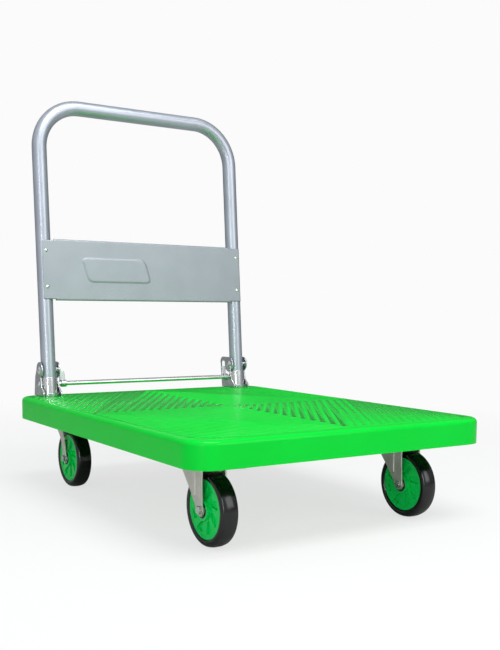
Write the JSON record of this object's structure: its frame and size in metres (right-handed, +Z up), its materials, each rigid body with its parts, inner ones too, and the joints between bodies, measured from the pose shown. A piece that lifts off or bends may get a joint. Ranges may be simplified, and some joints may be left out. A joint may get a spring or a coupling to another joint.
{
  "type": "folding platform cart",
  "caption": "Flatbed push cart with a green ribbed plastic deck, a fold-down tube handle with a steel panel, rigid front casters and swivel rear casters.",
  "frame": {"origin": "on the floor, at the middle of the whole cart, handle included", "axes": "+Z up, +Y from the front of the deck to the handle, +X across the deck to the right"},
  "size_m": [0.61, 0.831, 0.8435],
  "materials": {
    "deck_green": "injection moulded polypropylene, glossy sides, fine moulded top",
    "hub_green": "moulded polypropylene, satin gloss",
    "tyre_black": "smooth thermoplastic rubber, shiny",
    "seal_black": "moulded nitrile",
    "handle_silver": "silver powder coat on steel, satin",
    "fork_zinc": "zinc plated pressed steel",
    "bracket_zinc": "bright zinc plated pressed steel",
    "bright_steel": "bright plated steel",
    "bolt_zinc": "zinc plated steel",
    "insert_brass": "turned brass"
  },
  "bodies": {
    "chassis": {"deck": "deck_green", "caster_inserts": "insert_brass", "caster_bolts": "bolt_zinc", "rigid_fork_left": "fork_zinc", "rigid_fork_right": "fork_zinc", "axle_bolt_front": "bolt_zinc", "axle_nut_front": "bolt_zinc", "axle_sleeve_front_left": "bright_steel", "axle_sleeve_front_right": "bright_steel", "swivel_plate_left": "fork_zinc", "swivel_plate_right": "fork_zinc", "race_balls_left": "bright_steel", "race_balls_right": "bright_steel", "kingpin_left": "fork_zinc", "kingpin_right": "fork_zinc", "hinge_bracket_left": "bracket_zinc", "hinge_bracket_right": "bracket_zinc", "bracket_screws": "bolt_zinc", "bracket_inserts": "insert_brass", "pivot_pins": "bright_steel", "ear_studs": "bright_steel"},
    "handle": {"handle_tube": "handle_silver", "handle_panel": "handle_silver", "panel_rivets": "bright_steel", "pivot_bushes": "bright_steel", "spring_seats": "bright_steel", "lock_spring_left": "bright_steel", "lock_spring_right": "bright_steel"},
    "release": {"release_rod": "bright_steel", "lock_sleeve_left": "bright_steel", "lock_sleeve_right": "bright_steel", "lift_tabs": "bracket_zinc", "rod_saddles": "bright_steel"},
    "swivel_left": {"swivel_fork_left": "fork_zinc", "axle_bolt_rear_left": "bolt_zinc", "axle_nut_rear_left": "bolt_zinc", "axle_sleeve_rear_left": "bright_steel"},
    "swivel_right": {"swivel_fork_right": "fork_zinc", "axle_bolt_rear_right": "bolt_zinc", "axle_nut_rear_right": "bolt_zinc", "axle_sleeve_rear_right": "bright_steel"},
    "wheel_front_left": {"tyre_front_left": "tyre_black", "wheel_hub_front_left": "hub_green", "wheel_bearings_front_left": "bright_steel", "bearing_seals_front_left": "seal_black"},
    "wheel_front_right": {"tyre_front_right": "tyre_black", "wheel_hub_front_right": "hub_green", "wheel_bearings_front_right": "bright_steel", "bearing_seals_front_right": "seal_black"},
    "wheel_rear_left": {"tyre_rear_left": "tyre_black", "wheel_hub_rear_left": "hub_green", "wheel_bearings_rear_left": "bright_steel", "bearing_seals_rear_left": "seal_black"},
    "wheel_rear_right": {"tyre_rear_right": "tyre_black", "wheel_hub_rear_right": "hub_green", "wheel_bearings_rear_right": "bright_steel", "bearing_seals_rear_right": "seal_black"}
  },
  "joints": [
    {"name": "handle_fold", "type": "hinge", "parent": "chassis", "child": "handle", "pos_m": [0, 0.35263, 0.24901], "axis": [1, 0, 0], "range_deg": [0, 98]},
    {"name": "release_lift", "type": "slide", "parent": "handle", "child": "release", "axis": [0, 0.0807, 0.9967], "range_m": [0, 0.006], "stiffness_N_per_m": 1500, "springref_m": -0.008, "deforming": ["lock_spring_left", "lock_spring_right"]},
    {"name": "caster_swivel_left", "type": "hinge", "parent": "chassis", "child": "swivel_left", "pos_m": [-0.213, 0.31902, 0.15], "axis": [0, 0, 1], "continuous": true},
    {"name": "caster_swivel_right", "type": "hinge", "parent": "chassis", "child": "swivel_right", "pos_m": [0.213, 0.31902, 0.15], "axis": [0, 0, 1], "continuous": true},
    {"name": "wheel_spin_front_left", "type": "hinge", "parent": "chassis", "child": "wheel_front_left", "pos_m": [-0.213, -0.30748, 0.0625], "axis": [1, 0, 0], "continuous": true},
    {"name": "wheel_spin_front_right", "type": "hinge", "parent": "chassis", "child": "wheel_front_right", "pos_m": [0.213, -0.30748, 0.0625], "axis": [1, 0, 0], "continuous": true},
    {"name": "wheel_spin_rear_left", "type": "hinge", "parent": "swivel_left", "child": "wheel_rear_left", "pos_m": [-0.213, 0.28102, 0.0625], "axis": [1, 0, 0], "continuous": true},
    {"name": "wheel_spin_rear_right", "type": "hinge", "parent": "swivel_right", "child": "wheel_rear_right", "pos_m": [0.213, 0.28102, 0.0625], "axis": [1, 0, 0], "continuous": true}
  ]
}
